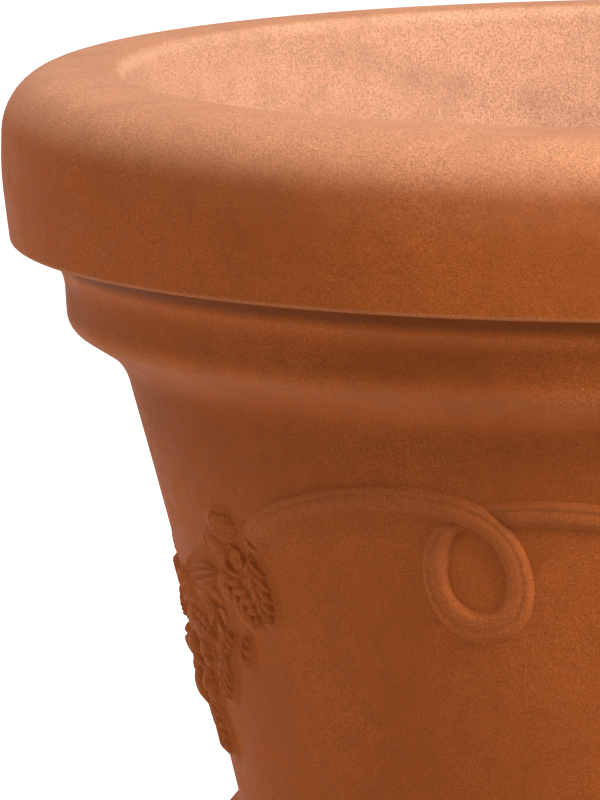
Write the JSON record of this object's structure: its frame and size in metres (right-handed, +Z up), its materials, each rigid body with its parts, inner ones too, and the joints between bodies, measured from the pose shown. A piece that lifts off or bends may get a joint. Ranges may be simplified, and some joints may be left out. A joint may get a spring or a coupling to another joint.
{
  "type": "flower pot",
  "caption": "Round tapered floor planter with a broad rolled rim, a necked shoulder, looped ribbon and garland relief, a ringed base and push-in drain plugs.",
  "frame": {"origin": "middle of the foot, in the plane that the pot stands on", "axes": "+Z up along the pot's axis; -Y towards one ribbon's loop, which is the front; +X to the right of it"},
  "size_m": [0.6, 0.6, 0.43],
  "materials": {
    "terracotta_plastic": "matt and finely grained, in the colour of fired clay",
    "plug_rubber": "matt"
  },
  "bodies": {
    "pot": {"pot_rim": "terracotta_plastic", "pot_wall": "terracotta_plastic", "pot_base": "terracotta_plastic", "ribbon_1": "terracotta_plastic", "ribbon_2": "terracotta_plastic", "ribbon_3": "terracotta_plastic", "garland_1": "terracotta_plastic", "garland_2": "terracotta_plastic", "garland_3": "terracotta_plastic"},
    "plug_1": {"drain_plug_1": "plug_rubber"},
    "plug_2": {"drain_plug_2": "plug_rubber"},
    "plug_3": {"drain_plug_3": "plug_rubber"},
    "plug_4": {"drain_plug_4": "plug_rubber"}
  },
  "joints": [
    {"name": "plug_1_pull", "type": "slide", "parent": "pot", "child": "plug_1", "axis": [0, 0, 1], "range_m": [0, 0.04]},
    {"name": "plug_2_pull", "type": "slide", "parent": "pot", "child": "plug_2", "axis": [0, 0, 1], "range_m": [0, 0.04]},
    {"name": "plug_3_pull", "type": "slide", "parent": "pot", "child": "plug_3", "axis": [0, 0, 1], "range_m": [0, 0.04]},
    {"name": "plug_4_pull", "type": "slide", "parent": "pot", "child": "plug_4", "axis": [0, 0, 1], "range_m": [0, 0.04]}
  ]
}
